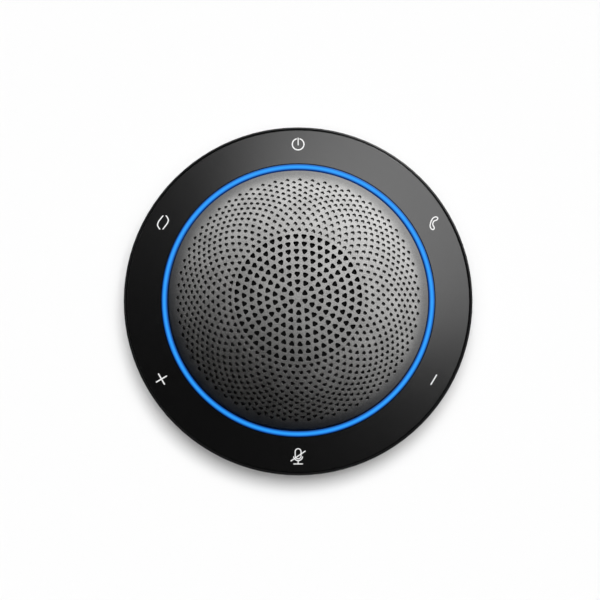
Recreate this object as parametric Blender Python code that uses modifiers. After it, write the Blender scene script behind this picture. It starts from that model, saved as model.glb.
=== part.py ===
"""Conference speakerphone: a round desk puck with a domed grille, a light ring and six hidden keys.

Run with blender --background --python part.py. The frame is in metres, +Z up, with the origin on the desk
under the centre of the puck. +Y points to the power key, and the USB socket is on that side.
Sizes below are in millimetres, and the functions that make meshes turn them into metres.
"""
import math

import bmesh
import bpy
from mathutils import Matrix, Vector

MM = 0.001
GAP = 0.3                      # clearance between pieces that meet
SIDES = 96                     # sides of a large turned piece
FINE_SIDES = 24                # sides of a loudspeaker piece
PEG_SIDES = 10                 # sides of a screw, a post or a hole

# casing
CASE_RADIUS = 61.4
CASE_WALL = 2.0
BASE_RADIUS = 48.5             # where the bowl's curved side meets its flat base
BASE_Z = 1.4                   # underside of the casing, held up by the foot
SPLIT_Z = 21.0                 # joint between the two casings
FLOOR_Z = BASE_Z + 2.2
FOOT_INNER = 37.0
FOOT_OUTER = 46.0
FOOT_TOP = 2.2
RECESS_Z = FOOT_TOP + GAP

# fascia: a cone that falls outward
SKIN_INNER = 48.25
SKIN_OUTER = 60.4
SKIN_TOP_Z = 25.8
SKIN_THICKNESS = 0.8
FASCIA_SLOPE = math.tan(math.radians(12.0))
DECK_THICKNESS = 1.8

# light ring and grille
LIGHT_INNER = 45.95
LIGHT_OUTER = 47.95
LIGHT_TOP_Z = 26.05
CHANNEL_Z = 22.6               # floor of the channel that holds the light ring and the grille's skirt
CHANNEL_INNER = 43.6
CHANNEL_OUTER = 48.25
GRILLE_RADIUS = 45.65
GRILLE_RIM_Z = 26.0
GRILLE_TOP_Z = 40.5
GRILLE_THICKNESS = 1.6
SKIRT_THICKNESS = 1.6
CLOTH_RADIUS = 41.0
CLOTH_THICKNESS = 0.4

# keys and ring board
KEY_ANGLES = {"power": 90, "call": 30, "volume_down": -30, "mute": -90, "volume_up": 210, "pairing": 150}
KEY_RADIUS = 54.1
KEY_HALF_WIDTH = 2.8
KEY_HALF_ANGLE = 12.0
KEY_TRAVEL = 0.3
RING_BOARD_INNER = 46.4
RING_BOARD_OUTER = 56.9
RING_BOARD_TOP = 19.2
RING_BOARD_THICKNESS = 1.2
SWITCH_TOP = 20.5

# baffle and loudspeaker
BAFFLE_TOP = 25.0
BAFFLE_THICKNESS = 2.0
BAFFLE_HOLE = 22.6
FLANGE_TOP = 27.1
FLANGE_RADIUS = 28.8
DRIVER_SCREW_RADIUS = 26.6
COIL_INNER = 5.2
COIL_OUTER = 5.6
CONE_EDGE = 18.6

# main board, battery and posts
BOARD_TOP = 6.4
BOARD_THICKNESS = 1.2
BOARD_OUTER = 51.5
BOARD_HOLE = 17.5
POST_RADIUS = 40.5
POST_BOTTOM = 9.0
POST_ANGLES = (30, 150, 210, 330)
BOARD_SCREWS = ((0.0, 36.0), (-41.0, -4.0), (41.0, -4.0))
PORT_WIDTH = 8.94
PORT_HEIGHT = 3.26
PORT_CORNER = 1.3
PORT_FRONT = 56.9
PORT_LENGTH = 7.3

parts = None
cutters = None
paints = {}


# ---------------------------------------------------------------- scene and materials

def clear_scene():
    for thing in list(bpy.data.objects):
        bpy.data.objects.remove(thing, do_unlink=True)


def new_collection(name):
    collection = bpy.data.collections.new(name)
    bpy.context.scene.collection.children.link(collection)
    return collection


def paint(name, colour, roughness, metallic=0.0):
    material = bpy.data.materials.new(name)
    material.use_nodes = True
    shader = material.node_tree.nodes["Principled BSDF"]
    shader.inputs["Base Color"].default_value = (*colour, 1.0)
    shader.inputs["Roughness"].default_value = roughness
    shader.inputs["Metallic"].default_value = metallic
    paints[name] = material


def make_paints():
    paint("black_plastic", (0.018, 0.018, 0.020), 0.42)
    paint("skin_black", (0.030, 0.030, 0.032), 0.50)
    paint("grille_grey", (0.200, 0.195, 0.190), 0.45)
    paint("light_blue", (0.050, 0.350, 1.000), 0.30)
    paint("foot_rubber", (0.020, 0.020, 0.020), 0.85)
    paint("cloth_black", (0.012, 0.012, 0.012), 0.95)
    paint("key_grey", (0.120, 0.120, 0.125), 0.55)
    paint("board_green", (0.020, 0.110, 0.060), 0.45)
    paint("chip_black", (0.030, 0.030, 0.032), 0.40)
    paint("steel", (0.560, 0.570, 0.580), 0.30, 1.0)
    paint("zinc", (0.460, 0.470, 0.480), 0.40, 1.0)
    paint("ferrite", (0.060, 0.060, 0.065), 0.60)
    paint("cone_paper", (0.045, 0.045, 0.048), 0.80)
    paint("surround_rubber", (0.025, 0.025, 0.027), 0.75)
    paint("spider_cloth", (0.550, 0.330, 0.120), 0.90)
    paint("coil_copper", (0.720, 0.340, 0.180), 0.35, 1.0)
    paint("foam_grey", (0.090, 0.090, 0.095), 0.90)
    paint("battery_wrap", (0.300, 0.330, 0.360), 0.50)
    paint("ribbon_amber", (0.550, 0.300, 0.060), 0.50)
    paint("led_white", (0.800, 0.800, 0.760), 0.40)


# ---------------------------------------------------------------- making pieces

def add_object(name, mesh, material=None):
    """Put a mesh in the scene: a part when it has a material, a cutter when it has none."""
    thing = bpy.data.objects.new(name, mesh)
    if material is None:
        cutters.objects.link(thing)
        thing.hide_render = True
        thing.display_type = "WIRE"
        return thing
    parts.objects.link(thing)
    mesh.materials.append(paints[material])
    return thing


def finish_mesh(name, shape, smooth_below=35.0):
    mesh = bpy.data.meshes.new(name)
    shape.to_mesh(mesh)
    shape.free()
    mesh.shade_smooth()
    mesh.set_sharp_from_angle(angle=math.radians(smooth_below))
    return mesh


def turned(name, outline, material=None, sides=SIDES, closed=True):
    """Turn an (r, z) outline about the vertical axis; it runs clockwise, down its outer side."""
    shape = bmesh.new()
    corners = [shape.verts.new((r * MM, 0.0, z * MM)) for r, z in outline]
    for first, second in zip(corners, corners[1:]):
        shape.edges.new((first, second))
    if closed:
        shape.edges.new((corners[-1], corners[0]))
    mesh = bpy.data.meshes.new(name)
    shape.to_mesh(mesh)
    shape.free()
    thing = add_object(name, mesh, material)
    screw = thing.modifiers.new("turn", "SCREW")
    screw.axis = "Z"
    screw.angle = math.tau
    screw.steps = sides
    screw.render_steps = sides
    screw.use_merge_vertices = True
    screw.merge_threshold = 0.00001
    screw.use_smooth_shade = True
    return thing


def ring_outline(inner, outer, bottom, top):
    return [(inner, top), (outer, top), (outer, bottom), (inner, bottom)]


def spin_sector(shape, outline, middle, half, steps):
    """Sweep an (r, z) outline through an arc, middle and half in degrees, as a closed solid."""
    start = Matrix.Rotation(math.radians(middle - half), 4, "Z")
    corners = [shape.verts.new(start @ Vector((r * MM, 0.0, z * MM))) for r, z in outline]
    face = shape.faces.new(corners)
    bmesh.ops.spin(shape, geom=corners + list(face.edges) + [face], cent=(0.0, 0.0, 0.0),
                   axis=(0.0, 0.0, 1.0), angle=math.radians(2.0 * half), steps=steps)


def sectors(name, outline, middles, half, steps, material=None):
    shape = bmesh.new()
    for middle in middles:
        spin_sector(shape, outline, middle, half, steps)
    bmesh.ops.recalc_face_normals(shape, faces=shape.faces)
    return add_object(name, finish_mesh(name, shape), material)


def pegs(name, places, radius, bottom, top, material=None, sides=PEG_SIDES):
    """Upright round pegs at (x, y) places, in one mesh."""
    shape = bmesh.new()
    for x, y in places:
        place = Matrix.Translation((x * MM, y * MM, (bottom + top) / 2 * MM))
        bmesh.ops.create_cone(shape, cap_ends=True, segments=sides, radius1=radius * MM,
                              radius2=radius * MM, depth=(top - bottom) * MM, matrix=place)
    return add_object(name, finish_mesh(name, shape), material)


def block(name, centre, size, material=None, bevel=0.0, turn=0.0):
    """A box about its own origin; turn is in degrees about the vertical axis of the puck."""
    shape = bmesh.new()
    bmesh.ops.create_cube(shape, size=1.0, matrix=Matrix.Diagonal([side * MM for side in size]).to_4x4())
    thing = add_object(name, finish_mesh(name, shape), material)
    spot = Matrix.Rotation(math.radians(turn), 4, "Z") @ Vector([part * MM for part in centre])
    thing.location = spot
    thing.rotation_euler.z = math.radians(turn)
    if bevel:
        edge = thing.modifiers.new("rounded", "BEVEL")
        edge.width = bevel * MM
        edge.segments = 2
    return thing


def rounded_bar(name, centre, size, corner, material=None, steps=4):
    """A bar along Y with rounded corners in its front view; corner is their radius."""
    half_width = size[0] / 2 - corner
    half_height = size[2] / 2 - corner
    shape = bmesh.new()
    ends = []
    for y in (centre[1] - size[1] / 2, centre[1] + size[1] / 2):
        loop = []
        for quarter, (across, up) in enumerate(((1, 1), (-1, 1), (-1, -1), (1, -1))):
            for step in range(steps + 1):
                angle = math.radians(90.0 * (quarter + step / steps))
                x = centre[0] + across * half_width + corner * math.cos(angle)
                z = centre[2] + up * half_height + corner * math.sin(angle)
                loop.append(shape.verts.new((x * MM, y * MM, z * MM)))
        ends.append(loop)
    shape.faces.new(ends[0])
    shape.faces.new(reversed(ends[1]))
    for index in range(len(ends[0])):
        following = (index + 1) % len(ends[0])
        shape.faces.new((ends[0][index], ends[1][index], ends[1][following], ends[0][following]))
    bmesh.ops.recalc_face_normals(shape, faces=shape.faces)
    return add_object(name, finish_mesh(name, shape), material)


def combine(target, other, operation):
    step = target.modifiers.new(operation.lower() + "_" + other.name, "BOOLEAN")
    step.operation = operation
    step.solver = "EXACT"
    step.object = other


def cut(target, *others):
    for other in others:
        combine(target, other, "DIFFERENCE")


def join(target, *others):
    for other in others:
        combine(target, other, "UNION")


def polar(radius, degrees):
    return (radius * math.cos(math.radians(degrees)), radius * math.sin(math.radians(degrees)))


def screw(name, place, head_radius, head, shank_radius, shank, material="steel"):
    """A screw: head and shank are (bottom, top) heights; the head may be above or below its shank."""
    low = min(head[0], shank[0])
    high = max(head[1], shank[1])
    if head[1] >= shank[1]:
        outline = [(0, high), (head_radius, high), (head_radius, head[0]), (shank_radius, head[0]),
                   (shank_radius, low), (0, low)]
    else:
        outline = [(0, high), (shank_radius, high), (shank_radius, head[1]), (head_radius, head[1]),
                   (head_radius, low), (0, low)]
    thing = turned(name, outline, material, sides=10, closed=False)
    thing.location = (place[0] * MM, place[1] * MM, 0.0)
    return thing


# ---------------------------------------------------------------- casing

def fascia_z(radius):
    """Height of the fascia's outer surface."""
    return SKIN_TOP_Z - FASCIA_SLOPE * (radius - SKIN_INNER)


def bowl_curve(wall, steps):
    """Quarter ellipse from the base to the split, moved inward by the wall."""
    reach = CASE_RADIUS - BASE_RADIUS - wall
    drop = SPLIT_Z - BASE_Z - (FLOOR_Z - BASE_Z if wall else 0.0)
    points = []
    for step in range(steps + 1):
        angle = math.radians(90.0 * step / steps)
        points.append((BASE_RADIUS + reach * math.sin(angle), SPLIT_Z - drop * math.cos(angle)))
    return points


def make_bottom_casing():
    outline = [(0, FLOOR_Z)] + bowl_curve(CASE_WALL, 6) + list(reversed(bowl_curve(0.0, 11)))
    outline += [(FOOT_OUTER + GAP, BASE_Z), (FOOT_OUTER + GAP, RECESS_Z), (FOOT_INNER - GAP, RECESS_Z),
                (FOOT_INNER - GAP, BASE_Z), (0, BASE_Z)]
    casing = turned("bottom_casing", outline, "black_plastic", closed=False)
    posts = [polar(POST_RADIUS, angle) for angle in POST_ANGLES]
    join(casing, pegs("casing_bosses", posts, 3.6, FLOOR_Z - 0.5, POST_BOTTOM - GAP))
    join(casing, pegs("board_bosses", BOARD_SCREWS, 2.8, FLOOR_Z - 0.5, BOARD_TOP - BOARD_THICKNESS - GAP))
    cut(casing, pegs("casing_screw_holes", posts, 1.6, 0.0, POST_BOTTOM + 1.0))
    cut(casing, pegs("casing_screw_seats", posts, 2.8, 0.5, 4.4))
    cut(casing, pegs("board_screw_holes", BOARD_SCREWS, 1.1, FLOOR_Z - 0.4, BOARD_TOP))
    port_z = BOARD_TOP + GAP + PORT_HEIGHT / 2
    cut(casing, rounded_bar("port_cutout", (0, PORT_FRONT, port_z),
                            (PORT_WIDTH + 2 * GAP, 12.0, PORT_HEIGHT + 2 * GAP), PORT_CORNER + GAP))


def make_foot():
    turned("rubber_foot", [(FOOT_INNER, FOOT_TOP), (FOOT_OUTER, FOOT_TOP), (FOOT_OUTER, 0.4),
                           (FOOT_OUTER - 0.4, 0.0), (FOOT_INNER + 0.4, 0.0), (FOOT_INNER, 0.4)],
           "foot_rubber")


def make_top_casing():
    deck = SKIN_THICKNESS + GAP
    under = deck + DECK_THICKNESS
    rim_inner = SKIN_OUTER + GAP
    rim_z = fascia_z(rim_inner)
    lip_outer = CASE_RADIUS - CASE_WALL - GAP
    lip_inner = lip_outer - 1.4
    channel_under = CHANNEL_Z - 1.4
    wall_outer = CHANNEL_OUTER + 1.75
    outline = [(BAFFLE_HOLE, BAFFLE_TOP), (CHANNEL_INNER, BAFFLE_TOP), (CHANNEL_INNER, CHANNEL_Z),
               (CHANNEL_OUTER, CHANNEL_Z), (CHANNEL_OUTER, fascia_z(CHANNEL_OUTER) - deck),
               (rim_inner, fascia_z(rim_inner) - deck), (rim_inner, rim_z - 0.15),
               (rim_inner + 0.1, rim_z), (CASE_RADIUS - 0.4, rim_z - 0.08), (CASE_RADIUS - 0.12, rim_z - 0.3),
               (CASE_RADIUS, rim_z - 0.75), (CASE_RADIUS, SPLIT_Z + GAP), (lip_outer, SPLIT_Z + GAP),
               (lip_outer, SPLIT_Z - 1.6), (lip_inner, SPLIT_Z - 1.6),
               (lip_inner, fascia_z(lip_inner) - under), (wall_outer, fascia_z(wall_outer) - under),
               (wall_outer, channel_under), (CHANNEL_INNER - 1.6, channel_under),
               (CHANNEL_INNER - 1.6, BAFFLE_TOP - BAFFLE_THICKNESS),
               (BAFFLE_HOLE, BAFFLE_TOP - BAFFLE_THICKNESS)]
    casing = turned("top_casing", outline, "black_plastic")
    posts = [polar(POST_RADIUS, angle) for angle in POST_ANGLES]
    join(casing, pegs("casing_posts", posts, 3.0, POST_BOTTOM, BAFFLE_TOP - 0.6))
    cut(casing, pegs("post_holes", posts, 1.5, POST_BOTTOM - 1.0, 17.0))
    pins = [polar(KEY_RADIUS - 1.0, angle) for angle in (0, 180)]
    join(casing, pegs("board_pins", pins, 1.0, RING_BOARD_TOP - 1.9, fascia_z(KEY_RADIUS) - under + 0.9))
    window = key_outline(GAP, deck - 1.5, under + 1.5)
    spare = math.degrees(GAP / KEY_RADIUS)
    cut(casing, sectors("key_windows", window, KEY_ANGLES.values(), KEY_HALF_ANGLE + spare, 3))
    slot = ring_outline(LIGHT_INNER + 0.25, LIGHT_OUTER - 0.05, channel_under - 0.5, CHANNEL_Z + 0.5)
    cut(casing, sectors("light_slots", slot, range(0, 360, 60), 17.0, 3))
    driver_screws = [polar(DRIVER_SCREW_RADIUS, angle) for angle in range(45, 360, 90)]
    cut(casing, pegs("baffle_screw_holes", driver_screws, 1.2, 22.0, 26.0))


def make_fascia():
    turned("fascia_skin", [(SKIN_INNER, SKIN_TOP_Z), (SKIN_OUTER - 0.3, fascia_z(SKIN_OUTER - 0.3)),
                           (SKIN_OUTER, fascia_z(SKIN_OUTER) - 0.2),
                           (SKIN_OUTER, fascia_z(SKIN_OUTER) - SKIN_THICKNESS),
                           (SKIN_INNER, SKIN_TOP_Z - SKIN_THICKNESS)], "skin_black")


def make_light_ring():
    bottom = CHANNEL_Z + GAP
    turned("light_ring", [(LIGHT_INNER + 0.3, LIGHT_TOP_Z), (LIGHT_OUTER - 0.3, LIGHT_TOP_Z),
                          (LIGHT_OUTER, LIGHT_TOP_Z - 0.3), (LIGHT_OUTER, bottom), (LIGHT_INNER, bottom),
                          (LIGHT_INNER, LIGHT_TOP_Z - 0.3)], "light_blue")


# ---------------------------------------------------------------- grille

def dome_curve(radius, inset, steps):
    """Points from the dome's crown out to the radius, on the grille's sphere moved in by the inset."""
    rise = GRILLE_TOP_Z - GRILLE_RIM_Z
    sphere = (GRILLE_RADIUS ** 2 + rise ** 2) / (2.0 * rise)
    centre = GRILLE_TOP_Z - sphere
    shell = sphere - inset
    reach = math.asin(radius / shell)
    return [(shell * math.sin(reach * step / steps), centre + shell * math.cos(reach * step / steps))
            for step in range(steps + 1)]


def make_grille():
    bottom = CHANNEL_Z + GAP
    outline = dome_curve(GRILLE_RADIUS, 0.0, 9)
    outline += [(GRILLE_RADIUS, bottom), (GRILLE_RADIUS - SKIRT_THICKNESS, bottom)]
    outline += reversed(dome_curve(GRILLE_RADIUS - SKIRT_THICKNESS, GRILLE_THICKNESS, 5))
    turned("speaker_grille", outline, "grille_grey", closed=False)


def make_cloth():
    top = dome_curve(CLOTH_RADIUS, GRILLE_THICKNESS + GAP, 5)
    bottom = dome_curve(CLOTH_RADIUS, GRILLE_THICKNESS + GAP + CLOTH_THICKNESS, 5)
    turned("acoustic_cloth", top + list(reversed(bottom)), "cloth_black", sides=FINE_SIDES, closed=False)


# ---------------------------------------------------------------- keys and ring board

def key_outline(spare, top, bottom):
    """Section of a key, or of its window with spare room; top and bottom are depths under the fascia."""
    inner = KEY_RADIUS - KEY_HALF_WIDTH - spare
    outer = KEY_RADIUS + KEY_HALF_WIDTH + spare
    return [(inner, fascia_z(inner) - top), (outer, fascia_z(outer) - top),
            (outer, fascia_z(outer) - bottom), (inner, fascia_z(inner) - bottom)]


def make_keys():
    deck = SKIN_THICKNESS + GAP
    section = key_outline(0.0, deck, deck + DECK_THICKNESS)
    middle_z = fascia_z(KEY_RADIUS) - deck - DECK_THICKNESS
    for name, angle in KEY_ANGLES.items():
        key = sectors(name + "_key", section, [angle], KEY_HALF_ANGLE, 3, "key_grey")
        nib = pegs(name + "_nib", [polar(KEY_RADIUS, angle)], 1.0, SWITCH_TOP + KEY_TRAVEL + 0.1,
                   middle_z + 0.9)
        join(key, nib)
        switch_low = RING_BOARD_TOP + GAP
        block(name + "_switch", (KEY_RADIUS, 0, (SWITCH_TOP + switch_low) / 2),
              (3.4, 4.2, SWITCH_TOP - switch_low), "steel", turn=angle)


def make_ring_board():
    low = RING_BOARD_TOP - RING_BOARD_THICKNESS
    board = turned("ring_board", ring_outline(RING_BOARD_INNER, RING_BOARD_OUTER, low, RING_BOARD_TOP),
                   "board_green")
    cut(board, pegs("ring_board_holes", [polar(KEY_RADIUS - 1.0, angle) for angle in (0, 180)], 1.4,
                    low - 1.0, RING_BOARD_TOP + 1.0))
    for number, angle in enumerate(range(0, 360, 60), 1):
        block("led_%d" % number, (47.1, 0, RING_BOARD_TOP + GAP + 0.4), (1.4, 3.0, 0.8), "led_white", turn=angle)
    for number, angle in enumerate((60, 120, 240, 300), 1):
        block("microphone_%d" % number, (52.6, 0, RING_BOARD_TOP + GAP + 0.55), (3.0, 3.8, 1.1), "zinc",
              turn=angle)


# ---------------------------------------------------------------- loudspeaker

def make_basket():
    flange_low = FLANGE_TOP - 1.0
    outline = [(21.2, FLANGE_TOP), (FLANGE_RADIUS, FLANGE_TOP), (FLANGE_RADIUS, flange_low), (22.2, flange_low),
               (22.2, 23.2), (16.4, 14.3), (16.4, 13.3), (8.0, 13.3), (8.0, 14.3), (15.4, 14.3),
               (21.2, 23.4)]
    basket = turned("driver_basket", outline, "zinc", sides=FINE_SIDES)
    screws = [polar(DRIVER_SCREW_RADIUS, angle) for angle in range(45, 360, 90)]
    cut(basket, pegs("flange_holes", screws, 1.2, flange_low - 1.0, FLANGE_TOP + 1.0))
    opening = ring_outline(13.0, 25.0, 16.6, 21.6)
    cut(basket, sectors("basket_windows", opening, range(0, 360, 90), 27.0, 3))


def make_cone():
    cone = [(6.0, 20.5), (CONE_EDGE, 26.8), (CONE_EDGE, 26.2), (6.0, 19.9)]
    turned("driver_cone", cone, "cone_paper", sides=FINE_SIDES)
    turned("driver_voice_coil", ring_outline(COIL_INNER, COIL_OUTER, 10.4, 20.2), "coil_copper", sides=20)
    cap_radius = 6.9
    cap_low = 21.3
    rise = 2.2
    sphere = (cap_radius ** 2 + rise ** 2) / (2.0 * rise)
    curves = []
    for shell in (sphere, sphere - 0.5):
        reach = math.asin(cap_radius / sphere)
        curves.append([(shell * math.sin(reach * step / 3), cap_low + rise - sphere + shell
                        * math.cos(reach * step / 3)) for step in range(4)])
    turned("driver_dust_cap", curves[0] + list(reversed(curves[1])), "cone_paper", sides=20, closed=False)


def make_suspension():
    base = FLANGE_TOP + GAP
    middle = 20.7
    roll = 1.8
    sheet = 0.4
    outer_arc = [(middle - roll * math.cos(math.radians(angle)), base + sheet + roll * math.sin(math.radians(angle)))
                 for angle in range(0, 181, 45)]
    inner_arc = [(middle - (roll - sheet) * math.cos(math.radians(angle)),
                  base + (roll - sheet) * math.sin(math.radians(angle))) for angle in range(180, -1, -60)]
    outline = [(17.4, base + sheet)] + outer_arc + [(24.6, base + sheet), (24.6, base)] + inner_arc
    outline += [(17.4, base)]
    turned("driver_surround", outline, "surround_rubber", sides=FINE_SIDES)
    waves = [(6.0 + 9.2 * step / 5, 16.0 + 0.45 * (-1) ** step) for step in range(6)]
    outline = [(r, z + 0.2) for r, z in waves] + [(r, z - 0.2) for r, z in reversed(waves)]
    turned("driver_spider", outline, "spider_cloth", sides=20)


def make_motor():
    turned("driver_top_plate", ring_outline(6.0, 15.0, 11.2, 13.0), "zinc", sides=FINE_SIDES)
    turned("driver_magnet", ring_outline(7.6, 16.0, 6.2, 10.9), "ferrite", sides=FINE_SIDES)
    yoke = [(0, 13.6), (4.6, 13.6), (4.9, 13.3), (4.9, 5.9), (15.0, 5.9), (15.0, 4.4), (14.6, 4.0), (0, 4.0)]
    turned("driver_yoke", yoke, "zinc", sides=20, closed=False)
    turned("driver_gasket", ring_outline(22.9, 25.0, BAFFLE_TOP + GAP, BAFFLE_TOP + GAP + 0.5), "foam_grey",
           sides=FINE_SIDES)


# ---------------------------------------------------------------- electronics and battery

def make_main_board():
    low = BOARD_TOP - BOARD_THICKNESS
    board = turned("main_board", ring_outline(BOARD_HOLE, BOARD_OUTER, low, BOARD_TOP), "board_green")
    cut(board, block("board_trim", (0, -62.0, BOARD_TOP), (120.0, 100.0, 8.0)))
    cut(board, pegs("board_clearance", [polar(POST_RADIUS, angle) for angle in (30, 150)], 4.0, low - 1.0,
                    BOARD_TOP + 1.0))
    cut(board, pegs("board_holes", BOARD_SCREWS, 1.3, low - 1.0, BOARD_TOP + 1.0))
    seat = BOARD_TOP + GAP
    block("audio_processor", (20.0, 33.0, seat + 0.6), (9.0, 9.0, 1.2), "chip_black")
    block("wireless_module", (-22.0, 32.0, seat + 1.0), (12.0, 9.0, 2.0), "zinc", bevel=0.3)


def make_port():
    centre = (0, PORT_FRONT - PORT_LENGTH / 2, BOARD_TOP + GAP + PORT_HEIGHT / 2)
    port = rounded_bar("usb_c_port", centre, (PORT_WIDTH, PORT_LENGTH, PORT_HEIGHT), PORT_CORNER, "steel")
    wall = 0.35
    depth = 6.2
    mouth = (0, PORT_FRONT - depth / 2 + 0.5, centre[2])
    cut(port, rounded_bar("port_mouth", mouth, (PORT_WIDTH - 2 * wall, depth + 1.0, PORT_HEIGHT - 2 * wall),
                          PORT_CORNER - wall))
    tongue_length = 5.4
    tongue = (0, PORT_FRONT - 1.2 - tongue_length / 2, centre[2])
    join(port, block("port_tongue", tongue, (6.7, tongue_length, 0.7)))


def make_battery():
    block("battery_pack", (0, -31.0, 8.2), (42.0, 17.0, 8.4), "battery_wrap", bevel=1.2)
    clip = block("battery_bracket", (0, -31.0, 8.6), (8.0, 20.6, 9.4), "steel")
    cut(clip, block("bracket_hollow", (0, -31.0, 7.6), (12.0, 17.0 + 2 * GAP, 10.4)))


def make_ribbon():
    """A flat flexible cable from under the ring board down to the main board."""
    route = [(49.6, 17.4), (47.6, 17.4), (46.8, 16.4), (46.8, 8.4), (46.0, 7.2), (43.4, 7.0)]
    width = 8.0
    shape = bmesh.new()
    rows = []
    for side in (-width / 2, width / 2):
        rows.append([shape.verts.new((r * MM, side * MM, z * MM)) for r, z in route])
    for step in range(len(route) - 1):
        shape.faces.new((rows[0][step], rows[0][step + 1], rows[1][step + 1], rows[1][step]))
    ribbon = add_object("ribbon_cable", finish_mesh("ribbon_cable", shape, 60.0), "ribbon_amber")
    ribbon.rotation_euler.z = math.radians(112.0)
    sheet = ribbon.modifiers.new("thickness", "SOLIDIFY")
    sheet.thickness = 0.25 * MM
    sheet.offset = 0.0


def make_screws():
    for number, angle in enumerate(POST_ANGLES, 1):
        screw("casing_screw_%d" % number, polar(POST_RADIUS, angle), 2.4, (2.7, 4.1), 1.2, (4.1, 15.5))
    for number, angle in enumerate(range(45, 360, 90), 1):
        screw("driver_screw_%d" % number, polar(DRIVER_SCREW_RADIUS, angle), 1.9,
              (FLANGE_TOP + GAP, FLANGE_TOP + 1.5), 0.9, (22.5, FLANGE_TOP + GAP))
    for number, place in enumerate(BOARD_SCREWS, 1):
        screw("board_screw_%d" % number, place, 2.1, (BOARD_TOP + GAP, BOARD_TOP + 1.5), 0.8,
              (FLOOR_Z, BOARD_TOP + GAP))


clear_scene()
parts = new_collection("conference_speakerphone")
cutters = new_collection("cutters")
make_paints()
make_bottom_casing()
make_foot()
make_top_casing()
make_fascia()
make_light_ring()
make_grille()
make_cloth()
make_keys()
make_ring_board()
make_basket()
make_cone()
make_suspension()
make_motor()
make_main_board()
make_port()
make_battery()
make_ribbon()
make_screws()
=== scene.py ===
"""Conference speakerphone: its looks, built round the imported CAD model.

Everything is in the CAD frame: metres, +Z up, the origin on the desk under the middle of the puck. Sizes
below are in millimetres, except where they say metres, and the functions that make meshes convert them.
"""
import math

import bmesh
import bpy
import numpy as np
from mathutils import Matrix, Vector
from mathutils.geometry import delaunay_2d_cdt


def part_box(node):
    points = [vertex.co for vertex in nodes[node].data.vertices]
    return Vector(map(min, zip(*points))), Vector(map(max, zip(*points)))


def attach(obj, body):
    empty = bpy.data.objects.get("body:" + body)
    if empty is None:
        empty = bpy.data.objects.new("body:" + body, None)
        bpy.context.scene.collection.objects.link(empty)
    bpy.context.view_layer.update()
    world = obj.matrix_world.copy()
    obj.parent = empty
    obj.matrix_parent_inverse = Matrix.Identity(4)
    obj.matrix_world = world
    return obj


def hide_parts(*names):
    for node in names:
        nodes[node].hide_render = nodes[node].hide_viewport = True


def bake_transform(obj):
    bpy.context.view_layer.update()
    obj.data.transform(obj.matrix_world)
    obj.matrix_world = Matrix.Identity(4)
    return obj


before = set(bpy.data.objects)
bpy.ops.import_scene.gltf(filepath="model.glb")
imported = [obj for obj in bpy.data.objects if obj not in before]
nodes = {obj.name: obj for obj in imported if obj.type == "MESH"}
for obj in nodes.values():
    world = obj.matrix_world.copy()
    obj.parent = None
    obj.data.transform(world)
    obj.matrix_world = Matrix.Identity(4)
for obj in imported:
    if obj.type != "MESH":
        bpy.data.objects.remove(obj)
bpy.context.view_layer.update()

MM = 0.001
SHARP_ANGLE = 20.0             # edges of CAD nodes that turn by more than this stay sharp
WELD_DISTANCE = 0.0005

# fascia and printed icons
SKIN_INNER = 48.25
SKIN_TOP_Z = 25.8
FASCIA_SLOPE = math.tan(math.radians(12.0))
ICON_LINE = 0.42
ICON_THICKNESS = 0.04
ICON_SINK = 0.02               # how far the ink reaches into the fascia
ICON_LAYER = 0.004             # each stroke of an icon lies this much above the one before

# light ring
LIGHT_MIDDLE = 46.95
LIGHT_HALF = 1.0

# grille: a shell of a sphere with a skirt
GRILLE_RADIUS = 45.65
GRILLE_RIM_Z = 26.0
GRILLE_TOP_Z = 40.5
GRILLE_THICKNESS = 1.6
SKIRT_BOTTOM = 22.9
SKIRT_INNER = 44.05
RIM_ROUND = 0.30
RIM_DROP = 0.55
GRILLE_SIDES = 240
SKIRT_SIDES = 120
DOME_RISE = GRILLE_TOP_Z - GRILLE_RIM_Z
SPHERE = (GRILLE_RADIUS ** 2 + DOME_RISE ** 2) / (2.0 * DOME_RISE)
SPHERE_Z = GRILLE_TOP_Z - SPHERE

# hole pattern, measured along the dome from its crown
PATTERN_TURN = 92.15           # azimuth of the row of holes that all rings share
HOLE_RINGS = 8
HOLE_PITCH = 2.72
HOLE_SIDE = 0.90               # between the corner centres of a rounded triangle
HOLE_CORNER = 0.58
HOLE_LIP = 0.05                # rounding at the mouth of a hole or pit
HOLE_TAPER = 0.08
PIT_RINGS = 15
PIT_COUNT = 60
PIT_FIRST = 24.14
PIT_PITCH = 2.28
PIT_PITCH_DROP = 0.17
PIT_PITCH_LEAST = 1.13
PIT_SIDE = 0.66
PIT_CORNER = 0.50
PIT_DEPTH = 0.66
PIT_TAPER = 0.10
PIT_FILLET = 0.12
PIT_SQUASH = 0.80              # radial size of a pit in the outer rings, beside one in the first
PIT_SQUASH_RINGS = 8.0         # rings over which the squash builds up

# acoustic cloth
CLOTH_RADIUS = 41.0
CLOTH_INSET = 1.95
CLOTH_THICKNESS = 0.30

# loudspeaker surround
SURROUND_Z = 27.4
SURROUND_LIP = 17.4
SURROUND_FOOT = 24.6
SURROUND_MIDDLE = 20.7
SURROUND_ROLL = 1.8
SURROUND_SHEET = 0.4
SURROUND_STEPS = 12
SURROUND_SECTORS = 24
SURROUND_SPLITS = 3
SURROUND_SHARP_ANGLE = 30.0

# contact pads in the port
PAD_COUNT = 12
PAD_PITCH = 0.5
PAD_SIZE = (0.28, 3.6, 0.05)
PAD_SETBACK = 3.2              # from the port's mouth to the middle of a pad
PAD_HEIGHT = 0.36              # from the middle of the tongue

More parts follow.
